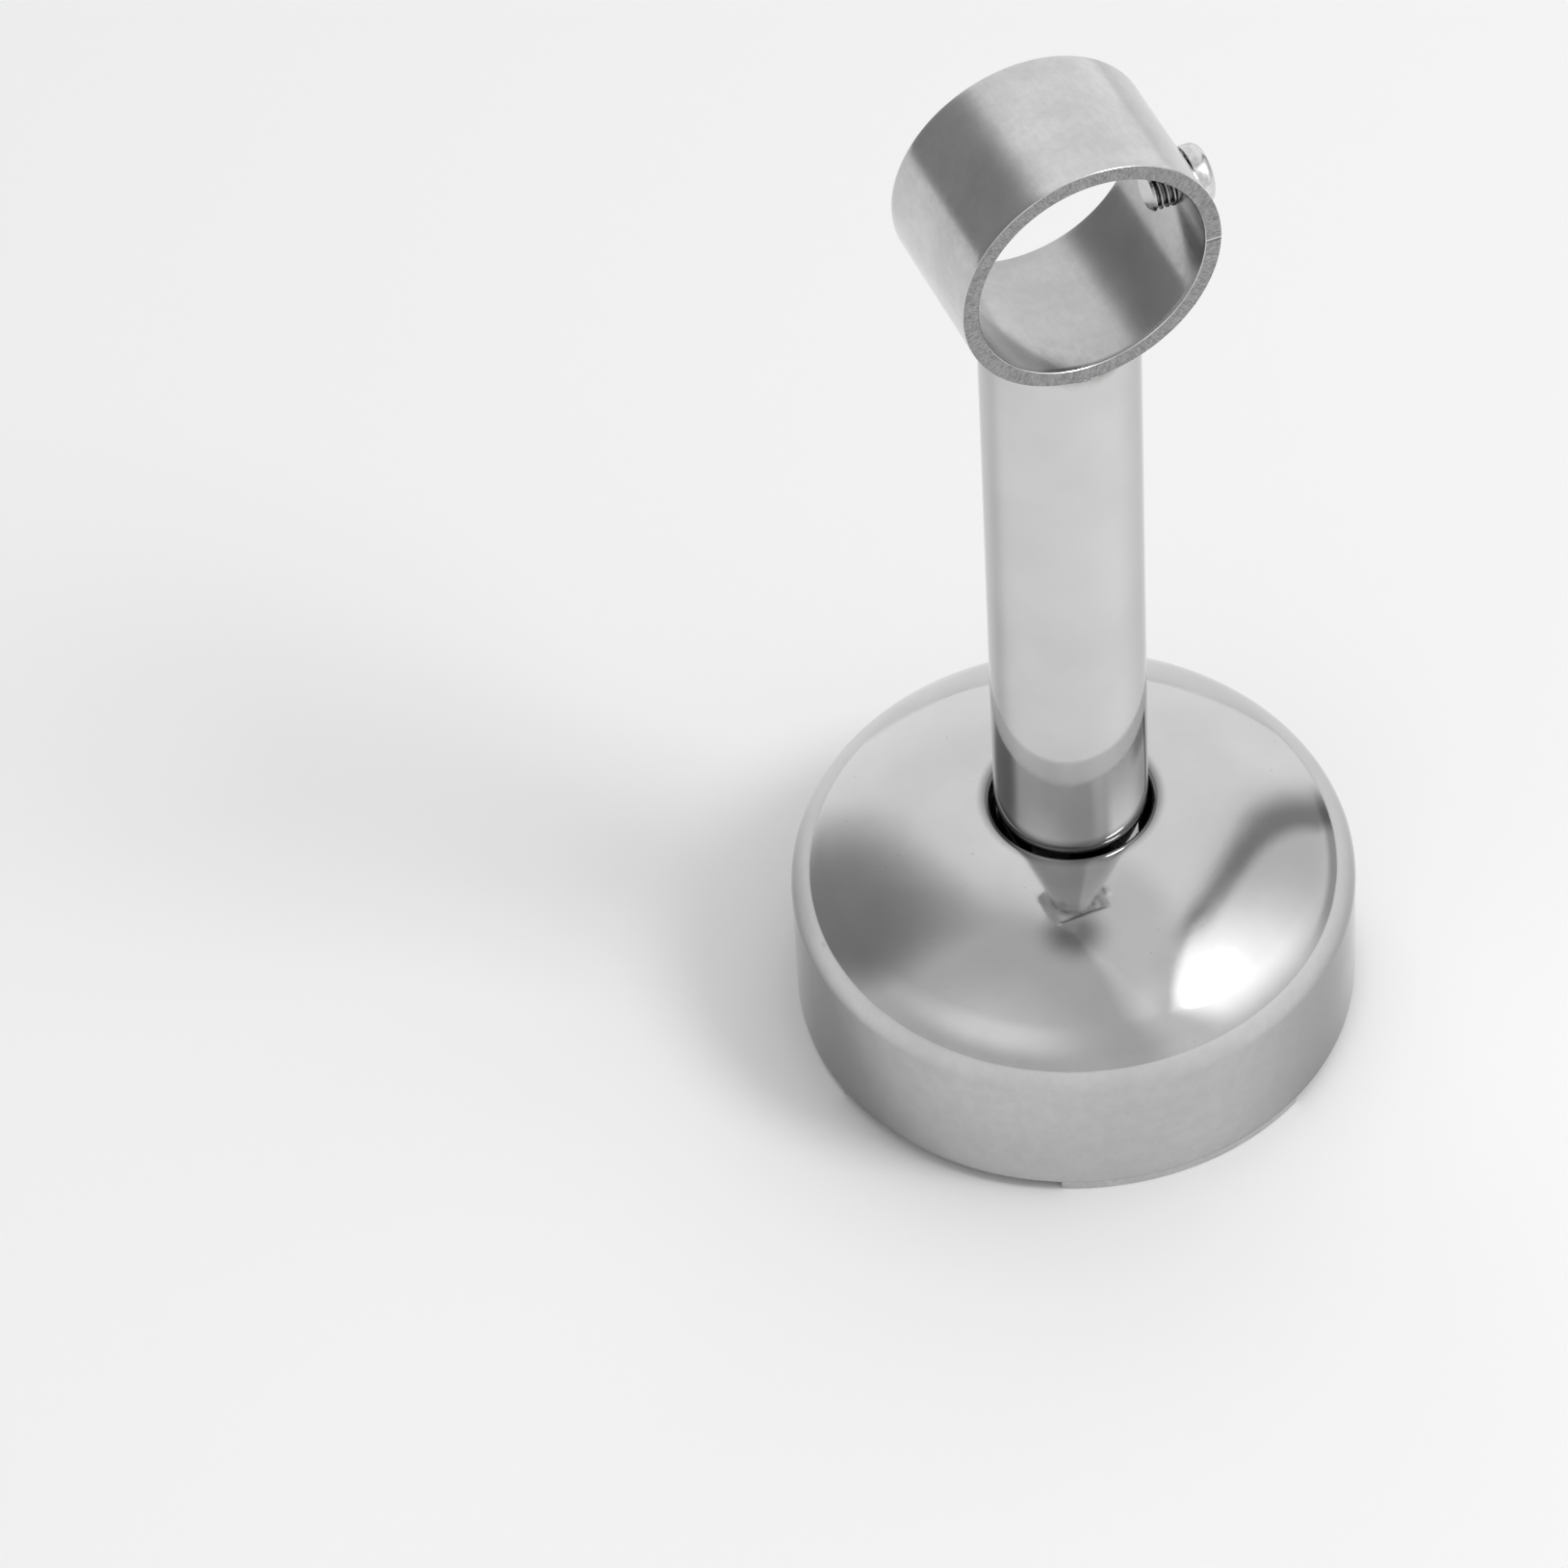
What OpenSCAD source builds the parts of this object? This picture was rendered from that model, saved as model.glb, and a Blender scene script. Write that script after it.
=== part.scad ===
// Rail support bracket with a slide-down cover: a tubular post stands on a
// pressed base plate and carries a short ring that a round rail passes through.
// Z runs up the post, the rail lies along Y, and the clamp screw points along X.
// The origin is on the post's axis, in the plate's mounting face.

/* [Ring] */
// Height of the rail's axis above the mounting face
rail_h = 132; // [90:0.5:200]
// Outer diameter of the ring
ring_d = 32; // [28:0.5:36]
// Wall thickness of the ring
ring_wall = 2; // [1.5:0.1:3]
// Length of the ring along the rail
ring_l = 20; // [20:1:40]
// Chamfer on the ring's sawn edges
ring_chamfer = 0.25; // [0.1:0.05:0.5]

/* [Post] */
// Outer diameter of the post
post_d = 19; // [18:0.5:19.5]
// Wall thickness of the post
post_wall = 1; // [0.8:0.1:2]
// Height of the post's lower end above the mounting face
post_z = 4.8; // [3:0.1:5]
// Leg of the weld between the post and the ring
ring_weld_leg = 0.9; // [0.5:0.1:1.2]

/* [Base plate] */
// Diameter of the plate
plate_d = 69.4; // [66:0.2:69.6]
// Thickness of the plate's sheet
plate_t = 1.5; // [1:0.1:2]
// Radius that rounds the blanked lower edge of the plate
plate_edge_r = 0.5; // [0.2:0.1:0.8]
// Outer radius of the bend that draws the collar up round the post
collar_bend_r = 5.2; // [3:0.1:6]
// Height of the collar's top above the mounting face
collar_top = 7.5; // [6.5:0.1:10]
// Leg of the weld between the collar and the post
plate_weld_leg = 1.4; // [0.5:0.1:1.5]
// Radius of the stiffening bead
bead_r = 21.2; // [18:0.1:24]
// Width of the stiffening bead
bead_w = 2.5; // [1:0.1:4]
// Depth of the stiffening bead
bead_depth = 0.35; // [0.1:0.05:0.6]
// Distance between the centres of the two fixing slots
slot_pitch = 52.8; // [50:0.2:54]
// Length of a fixing slot, end to end
slot_l = 11; // [9:0.2:12]
// Width of a fixing slot
slot_w = 8.2; // [4:0.2:9]
// Angle that each raised lip of the rim spans
lip_span = 48; // [30:1:50]
// Slope of the raised lips
lip_slope = 32; // [20:1:45]
// Outer radius of the raised lips
lip_r = 32.8; // [32:0.1:33]
// Height of the lips' lower edge above the mounting face
lip_rise = 1.7; // [1:0.1:2.5]

/* [Cover] */
// Diameter of the cover
cover_d = 70; // [69.6:0.2:80]
// Thickness of the cover's sheet
cover_t = 0.6; // [0.5:0.1:1]
// Height of the cover's straight wall
cover_wall_h = 17.4; // [10:0.2:25]
// Radial size of the rounded shoulder
shoulder_w = 13.2; // [8:0.1:16]
// Height of the rounded shoulder
shoulder_h = 9.7; // [6:0.1:14]
// Radius of the cover's domed top
dome_r = 55; // [45:1:120]
// Slope of the domed top where it meets the shoulder
dome_slope = 32; // [20:1:40]
// Diameter of the hole that the post passes through
cover_hole_d = 20.8; // [20.8:0.1:22]
// Gap between the cover's rim and the plate that it sits on
cover_gap = 0.1; // [0.05:0.05:0.3]

/* [Clamp screw] */
// Nominal thread diameter
screw_d = 5; // [3:0.5:5]
// Thread pitch
screw_pitch = 0.8; // [0.5:0.05:0.8]
// Length of the screw under its head
screw_l = 5; // [4:0.1:12]
// Gap between the ring and the underside of the head
screw_gap = 0.2; // [0.1:0.1:3]
// Diameter of the head
head_d = 7.5; // [7:0.1:9]
// Height of the head
head_h = 2.5; // [2:0.1:3]
// Width of the countersink round the tapped hole
sink_d = 7; // [5:0.1:7.4]

/* [Hidden] */
$fn = 96;

eps = 0.01;
big = 100;

ring_r = ring_d / 2;
ring_bore_r = ring_r - ring_wall;
post_r = post_d / 2;
post_bore_r = post_r - post_wall;

plate_r = plate_d / 2;
collar_clear = 0.1;
collar_r = post_r + collar_clear;
collar_bend_centre = collar_r + collar_bend_r;
bead_circle_r = (pow(bead_w / 2, 2) + pow(bead_depth, 2)) / (2 * bead_depth);
lip_bend_r = 2.5;
lip_straight = (lip_rise - lip_bend_r * (1 - cos(lip_slope))) / sin(lip_slope);
lip_start = lip_r - lip_straight * cos(lip_slope) - lip_bend_r * sin(lip_slope);
lip_root = 0.5;
lip_angles = [90, -36, -144];
lip_relief_r = 0.8;
lip_relief_x = lip_r - 0.4;
lip_relief_turn = 1;
lip_gap_turn = 0.2;

cover_r = cover_d / 2;
rim_z = plate_t + cover_gap;
shoulder_z = rim_z + cover_wall_h;
shoulder_r = cover_r - shoulder_w;
shoulder_steps = 20;
dome_steps = 10;

screw_r = screw_d / 2;
thread_clear = 0.05;
thread_depth = 0.55 * screw_pitch;
head_x = ring_r + screw_gap;
screw_tip_x = head_x - screw_l;
tip_chamfer = 0.3;
head_edge_h = 1.3;
sink_angle = 60;
recess_w = 0.9;
recess_l = 4.2;
recess_depth = 1.4;

// ---- shared outlines ------------------------------------------------------

// A sheet that bends through an angle, drawn round the bend's centre: the sheet's
// lower face has the radius r and starts straight below the centre.
module bend_outline(r, t, angle, turn = 1) {
    intersection() {
        difference() {
            circle(r);
            circle(r - t);
        }
        polygon([[0, 0], [0, -2 * r], [turn * 2 * r * tan(angle / 2), -2 * r],
                 [turn * 2 * r * sin(angle), -2 * r * cos(angle)]]);
    }
}

// A slot through the plate, centred on the origin and running along X.
module slot(length, width, height) {
    straight = length - width;
    translate([-straight / 2, -width / 2, 0]) cube([straight, width, height]);
    for (side = [-1, 1]) {
        translate([side * straight / 2, 0, 0]) cylinder(d = width, h = height);
    }
}

// ---- ring and post --------------------------------------------------------

// The sawn ring, with its tapped hole and the countersink round it.
module ring_collar() {
    half = ring_l / 2;
    sink_depth = (sink_d / 2 - screw_r) / tan(sink_angle);
    color("silver") translate([0, 0, rail_h]) difference() {
        rotate([90, 0, 0]) rotate_extrude() polygon([
            [ring_bore_r, -half + ring_chamfer],
            [ring_bore_r + ring_chamfer, -half],
            [ring_r - ring_chamfer, -half],
            [ring_r, -half + ring_chamfer],
            [ring_r, half - ring_chamfer],
            [ring_r - ring_chamfer, half],
            [ring_bore_r + ring_chamfer, half],
            [ring_bore_r, half - ring_chamfer]
        ]);
        rotate([0, 90, 0]) cylinder(r = screw_r + thread_clear, h = ring_d);
        translate([ring_r - sink_depth, 0, 0]) rotate([0, 90, 0])
            cylinder(r1 = screw_r, r2 = screw_r + 2 * sink_depth * tan(sink_angle), h = 2 * sink_depth);
    }
}

// The post, coped at its top to sit against the ring.
module post_tube() {
    color("gainsboro") difference() {
        translate([0, 0, post_z]) cylinder(r = post_r, h = rail_h - post_z);
        cylinder(r = post_bore_r, h = rail_h + eps);
        translate([0, 0, rail_h]) rotate([90, 0, 0]) cylinder(r = ring_r, h = big, center = true);
    }
}

// The weld that follows the saddle where the post meets the ring.
module ring_weld() {
    saddle_low = rail_h - ring_r - 2 * ring_weld_leg;
    color("dimgray") difference() {
        intersection() {
            translate([0, 0, saddle_low]) cylinder(r = post_r + ring_weld_leg, h = ring_r);
            translate([0, 0, rail_h]) rotate([90, 0, 0])
                cylinder(r = ring_r + ring_weld_leg, h = ring_l - 2 * ring_chamfer, center = true);
        }
        translate([0, 0, rail_h]) rotate([90, 0, 0]) cylinder(r = ring_r, h = big, center = true);
        cylinder(r = post_r, h = rail_h);
    }
}

// ---- base plate -----------------------------------------------------------

// The plate's outline from the collar to the rim, with the pressed bead.
module plate_outline() {
    difference() {
        union() {
            translate([collar_bend_centre, 0]) square([plate_r - collar_bend_centre, plate_t]);
            translate([collar_bend_centre, collar_bend_r]) bend_outline(collar_bend_r, plate_t, 90, -1);
            translate([collar_r, collar_bend_r]) square([plate_t, collar_top - collar_bend_r]);
            translate([bead_r, plate_t + bead_depth - bead_circle_r]) intersection() {
                circle(bead_circle_r);
                translate([-bead_w, bead_circle_r - 2 * bead_depth]) square([2 * bead_w, 2 * bead_depth]);
            }
        }
        translate([bead_r, bead_depth - bead_circle_r]) circle(bead_circle_r);
        translate([plate_r - plate_edge_r, 0]) difference() {
            translate([0, -eps]) square([plate_edge_r + eps, plate_edge_r + eps]);
            translate([0, plate_edge_r]) circle(plate_edge_r);
        }
    }
}

// The outline of a raised lip, from its root in the plate to its cut edge.
module lip_outline() {
    translate([lip_start - lip_root, 0]) square([lip_root, plate_t]);
    translate([lip_start, lip_bend_r]) {
        bend_outline(lip_bend_r, plate_t, lip_slope);
        rotate(lip_slope) translate([0, -lip_bend_r]) square([lip_straight, plate_t]);
    }
}

// What a lip leaves open in the flat rim: its sector and a round relief at each end.
module lip_cut() {
    depth = plate_t + 2;
    translate([0, 0, -1]) {
        rotate(-lip_span / 2) rotate_extrude(angle = lip_span)
            translate([lip_start, 0]) square([plate_r, depth]);
        for (end = [-1, 1]) {
            rotate(end * (lip_span / 2 + lip_relief_turn)) translate([lip_relief_x, 0, 0]) {
                cylinder(r = lip_relief_r, h = depth);
                translate([0, -lip_relief_r, 0]) cube([plate_r, 2 * lip_relief_r, depth]);
            }
        }
    }
}

// The pressed plate: a drawn collar, two fixing slots, three flat tabs that the
// cover sits on, and three raised lips between them.
module base_plate() {
    color("darkgray") union() {
        difference() {
            rotate_extrude() plate_outline();
            for (angle = lip_angles) {
                rotate(angle) lip_cut();
            }
            for (side = [-1, 1]) {
                translate([side * slot_pitch / 2, 0, -1]) slot(slot_l, slot_w, plate_t + 2);
            }
        }
        for (angle = lip_angles) {
            rotate(angle - lip_span / 2 + lip_gap_turn)
                rotate_extrude(angle = lip_span - 2 * lip_gap_turn) lip_outline();
        }
    }
}

// The fillet weld on top of the collar, inside the cover.
module plate_weld() {
    color("dimgray") rotate_extrude() translate([post_r, collar_top]) difference() {
        square(plate_weld_leg);
        translate([2 * plate_weld_leg, 2 * plate_weld_leg]) circle(1.5 * plate_weld_leg);
    }
}

// ---- cover ----------------------------------------------------------------

// One face of the cover's sheet, a distance inset inside its outer face, from the
// rim over the elliptical shoulder and up the dome to the hole.
function cover_face(inset) =
    let (
        w = shoulder_w - inset,
        h = shoulder_h - inset,
        r = dome_r - inset,
        meet = atan(h / (w * tan(dome_slope))),
        centre = [shoulder_r + w * cos(meet) - r * sin(dome_slope), shoulder_z + h * sin(meet) - r * cos(dome_slope)],
        hole_slope = asin((cover_hole_d / 2 - centre[0]) / r)
    )
    concat(
        [[cover_r - inset, rim_z]],
        [for (i = [0 : shoulder_steps])
            [shoulder_r + w * cos(meet * i / shoulder_steps),
             shoulder_z + h * sin(meet * i / shoulder_steps)]],
        [for (i = [1 : dome_steps])
            let (slope = dome_slope + (hole_slope - dome_slope) * i / dome_steps)
            [centre[0] + r * sin(slope), centre[1] + r * cos(slope)]]
    );

function reversed(points) = [for (i = [len(points) - 1 : -1 : 0]) points[i]];

// The spun cover that slides down the post over the plate and its screws.
module cover() {
    color("lightgray") rotate_extrude()
        polygon(concat(cover_face(0), reversed(cover_face(cover_t))));
}

// ---- clamp screw ----------------------------------------------------------

// The threaded shank's outline: V ridges one pitch apart, with a chamfered tip.
function thread_outline() =
    let (turns = floor((screw_l - tip_chamfer) / screw_pitch))
    concat(
        [[0, 0], [screw_r - tip_chamfer, 0], [screw_r, tip_chamfer]],
        [for (i = [0 : turns - 1], step = [0 : 1])
            [screw_r - (step == 0 ? thread_depth : 0), tip_chamfer + (i + (1 + step) / 2) * screw_pitch]],
        [[screw_r - thread_depth, screw_l], [0, screw_l]]
    );

// The pan-head screw that pinches the rail, with its cross recess.
module clamp_screw() {
    dome_h = head_h - head_edge_h;
    top_r = head_d / 2 - dome_h;
    color("whitesmoke") translate([screw_tip_x, 0, rail_h]) rotate([0, 90, 0]) difference() {
        union() {
            rotate_extrude() polygon(thread_outline());
            translate([0, 0, screw_l]) rotate_extrude() {
                square([head_d / 2, head_edge_h]);
                square([top_r, head_h]);
                translate([top_r, head_edge_h]) intersection() {
                    circle(dome_h);
                    square(dome_h);
                }
            }
        }
        for (turn = [0, 90]) {
            rotate(turn) translate([-recess_l / 2, -recess_w / 2, screw_l + head_h - recess_depth])
                cube([recess_l, recess_w, 2 * recess_depth]);
        }
    }
}

ring_collar();
post_tube();
ring_weld();
base_plate();
plate_weld();
cover();
clamp_screw();
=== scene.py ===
import math
import random

import bpy
import bmesh
from mathutils import Matrix, Quaternion, Vector, noise
from mathutils.geometry import delaunay_2d_cdt


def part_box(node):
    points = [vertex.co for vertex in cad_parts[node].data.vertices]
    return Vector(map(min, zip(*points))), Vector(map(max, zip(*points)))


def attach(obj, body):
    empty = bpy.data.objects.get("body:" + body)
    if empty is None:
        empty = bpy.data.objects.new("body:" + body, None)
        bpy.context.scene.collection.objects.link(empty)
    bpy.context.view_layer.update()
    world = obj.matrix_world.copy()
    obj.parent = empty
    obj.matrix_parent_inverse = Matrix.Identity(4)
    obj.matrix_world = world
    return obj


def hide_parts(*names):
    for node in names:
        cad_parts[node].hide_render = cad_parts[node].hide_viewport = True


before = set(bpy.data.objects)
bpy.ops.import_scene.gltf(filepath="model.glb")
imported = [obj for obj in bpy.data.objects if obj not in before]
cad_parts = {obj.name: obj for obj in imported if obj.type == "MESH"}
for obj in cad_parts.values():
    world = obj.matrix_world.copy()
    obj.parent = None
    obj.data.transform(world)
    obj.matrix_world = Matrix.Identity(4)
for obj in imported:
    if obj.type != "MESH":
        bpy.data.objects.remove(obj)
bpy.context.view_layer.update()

MM = 0.001


def corners(node):
    """Lowest and highest corner of a CAD node, in millimetres."""
    low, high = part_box(node)
    return low / MM, high / MM


# ---- sizes, in millimetres ------------------------------------------------------

ring_low, ring_high = corners("ring_collar")
RING_R = (ring_high.x - ring_low.x) / 2
RAIL_H = (ring_high.z + ring_low.z) / 2
RING_HALF = ring_high.y
RING_WALL = 2.0
BORE_R = RING_R - RING_WALL

post_low, post_high = corners("post_tube")
POST_R = post_high.x
POST_WALL = 1.0
POST_Z = post_low.z

cover_low, cover_high = corners("cover")
COVER_R = cover_high.x
RIM_Z = cover_low.z
COVER_T = 0.6
WALL_H = 17.4
SHOULDER_W = 13.2
SHOULDER_H = 9.7
DOME_R = 55.0
DOME_SLOPE = math.radians(32)
# the edge of the hole curls down, where the CAD's hole is plain and a little wider
COVER_HOLE_R = 9.98
HOLE_CURL_R = 0.85
HOLE_CURL = math.radians(78)

screw_low, screw_high = corners("clamp_screw")
TIP_X = screw_low.x
HEAD_END_X = screw_high.x
HEAD_R = screw_high.y
HEAD_H = 2.5
HEAD_SIDE_H = 1.3
HEAD_ROUND_R = 1.2
SCREW_R = 2.5
PITCH = 0.8
SHANK_L = HEAD_END_X - HEAD_H - TIP_X
SINK_R = 3.5

PLATE_R = 34.7
PLATE_T = 1.5
PLATE_INNER_R = 16.0
PLATE_SEGMENTS = 240
COLLAR_R = POST_R + 0.1
COLLAR_BEND_R = 5.2
COLLAR_TOP = 7.5
BEAD_R = 21.2
BEAD_HALF_W = 1.6
BEAD_DEPTH = 0.35
SLOT_X = 26.4
SLOT_W = 8.2
SLOT_STRAIGHT = 2.8
LIP_ANGLES = (-144, -36, 90)
LIP_HALF = 24
LIP_R = 32.8
LIP_START = 29.36
LIP_SLOPE = math.radians(32)
LIP_BEND_R = 2.5
RELIEF_R = 0.8
RELIEF_HUB_R = LIP_R - 0.4
RELIEF_FLOOR_R = RELIEF_HUB_R - RELIEF_R
# the sheared sheet has a soft edge below and a sharper one above
LOW_EDGE_R = 0.36
HIGH_EDGE_R = 0.14
EDGE_LOOPS = (0.0, 0.06, 0.17, LOW_EDGE_R)


# ---- mesh helpers ---------------------------------------------------------------

def eased(t):
    """A smooth step from 0 to 1."""
    t = min(1.0, max(0.0, t))
    return t * t * (3 - 2 * t)


def polar(r, degrees):
    return (r * math.cos(math.radians(degrees)), r * math.sin(math.radians(degrees)))


def bearings(parts):
    """The directions, in degrees, that cut a full turn into equal parts."""
    return [360 * i / parts for i in range(parts)]


def arc(centre, r, start, stop, steps):
    """Points on a circle from one direction to another, in degrees, with both ends."""
    made = []
    for s in range(steps + 1):
        x, y = polar(r, start + (stop - start) * s / steps)
        made.append((centre[0] + x, centre[1] + y))
    return made


def slope_arc(centre, r, start, stop, steps):
    """Points on a circle by the slope there, in radians, without the first one."""
    made = []
    for s in range(1, steps + 1):
        slope = start + (stop - start) * s / steps
        made.append((centre[0] + r * math.sin(slope), centre[1] + r * math.cos(slope)))
    return made


def rounded(outline, steps=5):
    """A closed outline of (x, y, corner radius), with its corners rounded."""
    made = []
    for i, (x, y, r) in enumerate(outline):
        if r == 0:
            made.append((x, y))
            continue
        corner = Vector((x, y))
        back = (Vector(outline[i - 1][:2]) - corner).normalized()
        ahead = (Vector(outline[(i + 1) % len(outline)][:2]) - corner).normalized()
        half = back.angle(ahead) / 2
        centre = corner + (back + ahead).normalized() * (r / math.sin(half))
        start = corner + back * (r / math.tan(half)) - centre
        end = corner + ahead * (r / math.tan(half)) - centre
        turn = start.angle_signed(end)
        for s in range(steps + 1):
            a = -turn * s / steps
            made.append((
                centre.x + start.x * math.cos(a) - start.y * math.sin(a),
                centre.y + start.x * math.sin(a) + start.y * math.cos(a),
            ))
    return made


def resampled(points, step):
    """A polyline with points added so that no part is longer than step."""
    made = [points[0]]
    for a, b in zip(points, points[1:]):
        parts = max(1, math.ceil(math.dist(a, b) / step))
        for s in range(1, parts + 1):
            made.append(tuple(p + (q - p) * s / parts for p, q in zip(a, b)))
    return made


def looped(ids):
    """Each member of a closed loop with the next one."""
    return zip(ids, ids[1:] + ids[:1])


def ring_faces(sections, n, first=0, closed=True):
    """Faces between sections of n points each that follow each other round an axis."""
    faces = []
    for i in range(sections):
        here = first + i * n
        there = first + (i + 1) % sections * n
        for k in range(n if closed else n - 1):
            m = (k + 1) % n
            faces.append((here + k, there + k, there + m, here + m))
    return faces


def lathe(outline, segments):
    """Points and faces of a closed outline (radius, height) turned round Z."""
    points = [(*polar(r, a), z) for a in bearings(segments) for r, z in outline]
    return points, ring_faces(segments, len(outline))


def bulge(low, belly, high, count):
    """Points on a curve from low to high that leans towards belly."""
    made = []
    for s in range(count):
        t = s / (count - 1)
        made.append(low * (1 - t) ** 2 + belly * 2 * t * (1 - t) + high * t ** 2)
    return made


def piece(name, points, faces, place=None, weld=1e-8):
    """A mesh object from points in millimetres, with its faces turned outwards.

    Points nearer to each other than weld, in metres, become one.
    """
    mesh = bpy.data.meshes.new(name)
    mesh.from_pydata([Vector(p) * MM for p in points], [], faces)
    if place is not None:
        moved = place.copy()
        moved.translation *= MM
        mesh.transform(moved)
    work = bmesh.new()
    work.from_mesh(mesh)
    bmesh.ops.remove_doubles(work, verts=work.verts, dist=weld)
    bmesh.ops.recalc_face_normals(work, faces=work.faces)
    work.to_mesh(mesh)
    work.free()
    made = bpy.data.objects.new(name, mesh)
    bpy.context.scene.collection.objects.link(made)
    return made


def carve(body, tools):
    """Cuts closed meshes out of a piece, and leaves a plain mesh."""
    for tool in tools:
        cut = body.modifiers.new("cut", "BOOLEAN")
        cut.operation = "DIFFERENCE"
        cut.solver = "EXACT"
        cut.object = tool
    bpy.context.view_layer.update()
    ready = body.evaluated_get(bpy.context.evaluated_depsgraph_get())
    mesh = bpy.data.meshes.new_from_object(ready)
    body.modifiers.clear()
    body.data = mesh
    for tool in tools:
        bpy.data.objects.remove(tool)


def absorb(body, other):
    """Adds another object's mesh to a piece, and removes the other object."""
    work = bmesh.new()
    work.from_mesh(body.data)
    work.from_mesh(other.data)
    work.to_mesh(body.data)
    work.free()
    bpy.data.objects.remove(other)


def smooth(made, angle=35):
    """Smooth shading that keeps edges sharper than an angle, weighted by face size."""
    made.data.shade_smooth()
    made.data.set_sharp_from_angle(angle=math.radians(angle))
    weighted = made.modifiers.new("weighted", "WEIGHTED_NORMAL")
    weighted.keep_sharp = True
    weighted.weight = 80


def waver(made, amount, size, pattern):
    """Moves each point along its normal by soft noise, like hand-polished metal."""
    shift = Vector((7.3, 3.1, 5.7)) * pattern
    normals = [v.normal.copy() for v in made.data.vertices]
    for v, normal in zip(made.data.vertices, normals):
        v.co += normal * (noise.noise(v.co / (size * MM) + shift) * amount * MM)


def along_x(x):
    """Turns a piece made along Z so that it runs along +X, from a place on the screw's axis."""
    return Matrix.Translation((x, 0, RAIL_H)) @ Matrix.Rotation(math.radians(90), 4, "Y")


# ---- materials ------------------------------------------------------------------

class Nodes:
    """A shader's node tree. Values are numbers, colours or the outputs of other nodes."""

    def __init__(self, tree, coordinates):
        self.tree = tree
        self.place = tree.nodes.new("ShaderNodeTexCoord").outputs[coordinates]

    def link(self, value, socket):
        if isinstance(value, (int, float, tuple)):
            socket.default_value = value
        else:
            self.tree.links.new(value, socket)

    def math(self, operation, *values):
        node = self.tree.nodes.new("ShaderNodeMath")
        node.operation = operation
        for value, socket in zip(values, node.inputs):
            self.link(value, socket)
        return node.outputs[0]

    def plus(self, a, b):
        return self.math("ADD", a, b)

    def minus(self, a, b):
        return self.math("SUBTRACT", a, b)

    def times(self, first, *others):
        product = first
        for other in others:
            product = self.math("MULTIPLY", product, other)
        return product

    def apart(self, a, b):
        return self.math("ABSOLUTE", self.minus(a, b))

    def length(self, a, b):
        """Length of the vector (a, b)."""
        return self.math("SQRT", self.plus(self.times(a, a), self.times(b, b)))

    def split(self, vector=None):
        node = self.tree.nodes.new("ShaderNodeSeparateXYZ")
        self.link(vector or self.place, node.inputs[0])
        return node.outputs

    def join(self, x, y, z):
        node = self.tree.nodes.new("ShaderNodeCombineXYZ")
        for value, socket in zip((x, y, z), node.inputs):
            self.link(value, socket)
        return node.outputs[0]

    def span(self, value, low, high, to_low=0.0, to_high=1.0, smooth=True):
        """Maps low to to_low and high to to_high, and stays at the ends beyond them."""
        node = self.tree.nodes.new("ShaderNodeMapRange")
        node.interpolation_type = "SMOOTHSTEP" if smooth else "LINEAR"
        names = ("Value", "From Min", "From Max", "To Min", "To Max")
        for given, name in zip((value, low, high, to_low, to_high), names):
            self.link(given, node.inputs[name])
        return node.outputs["Result"]

    def fade(self, value, low, high, top=1.0):
        """Falls from top at low to 0 at high."""
        return self.span(value, low, high, top, 0.0)

    def window(self, value, rise_low, rise_high, fall_low, fall_high):
        """1 between a rise and a fall, and 0 outside them."""
        return self.times(self.span(value, rise_low, rise_high), self.fade(value, fall_low, fall_high))


class Finish(Nodes):
    """A procedural metal, built node by node. Its coordinates are in metres."""

    def __init__(self, name, base):
        self.material = bpy.data.materials.new(name)
        self.material.use_nodes = True
        super().__init__(self.material.node_tree, "Object")
        self.shader = self.tree.nodes["Principled BSDF"]
        self.shader.inputs["Metallic"].default_value = 1.0
        self.color(base)

    def noise(self, vector, scale, detail=3.0, roughness=0.5, distortion=0.0):
        node = self.tree.nodes.new("ShaderNodeTexNoise")
        self.link(vector, node.inputs["Vector"])
        node.inputs["Scale"].default_value = scale
        node.inputs["Detail"].default_value = detail
        node.inputs["Roughness"].default_value = roughness
        node.inputs["Distortion"].default_value = distortion
        return node.outputs["Fac"]

    def mix(self, factor, a, b):
        node = self.tree.nodes.new("ShaderNodeMix")
        node.data_type = "RGBA"
        self.link(factor, node.inputs["Factor"])
        self.link(a, node.inputs[6])
        self.link(b, node.inputs[7])
        return node.outputs[2]

    def over(self, under, mask, paint, amount=1.0):
        """Lays a colour over another one where the mask is 1, as strongly as amount says."""
        factor = mask if amount == 1.0 else self.times(mask, amount)
        return self.mix(factor, under, paint)

    def bump(self, height, distance):
        """Adds relief on top of any relief that is there already."""
        node = self.tree.nodes.new("ShaderNodeBump")
        node.inputs["Strength"].default_value = 1.0
        node.inputs["Distance"].default_value = distance
        self.link(height, node.inputs["Height"])
        normal = self.shader.inputs["Normal"]
        if normal.is_linked:
            self.tree.links.new(normal.links[0].from_socket, node.inputs["Normal"])
        self.tree.links.new(node.outputs["Normal"], normal)

    def color(self, value):
        self.link(value, self.shader.inputs["Base Color"])

    def roughness(self, value):
        self.link(value, self.shader.inputs["Roughness"])

    def facing(self):
        """0 where a surface faces the eye, towards 1 where it turns away."""
        node = self.tree.nodes.new("ShaderNodeLayerWeight")
        node.inputs["Blend"].default_value = 0.5
        return node.outputs["Facing"]

    def normal(self):
        """The surface's own direction: across, along the rail and up."""
        return self.split(self.tree.nodes.new("ShaderNodeNewGeometry").outputs["Normal"])


def grey(value, warm=0.0):
    return (value * (1 + warm), value, value * (1 - warm), 1.0)


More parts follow.
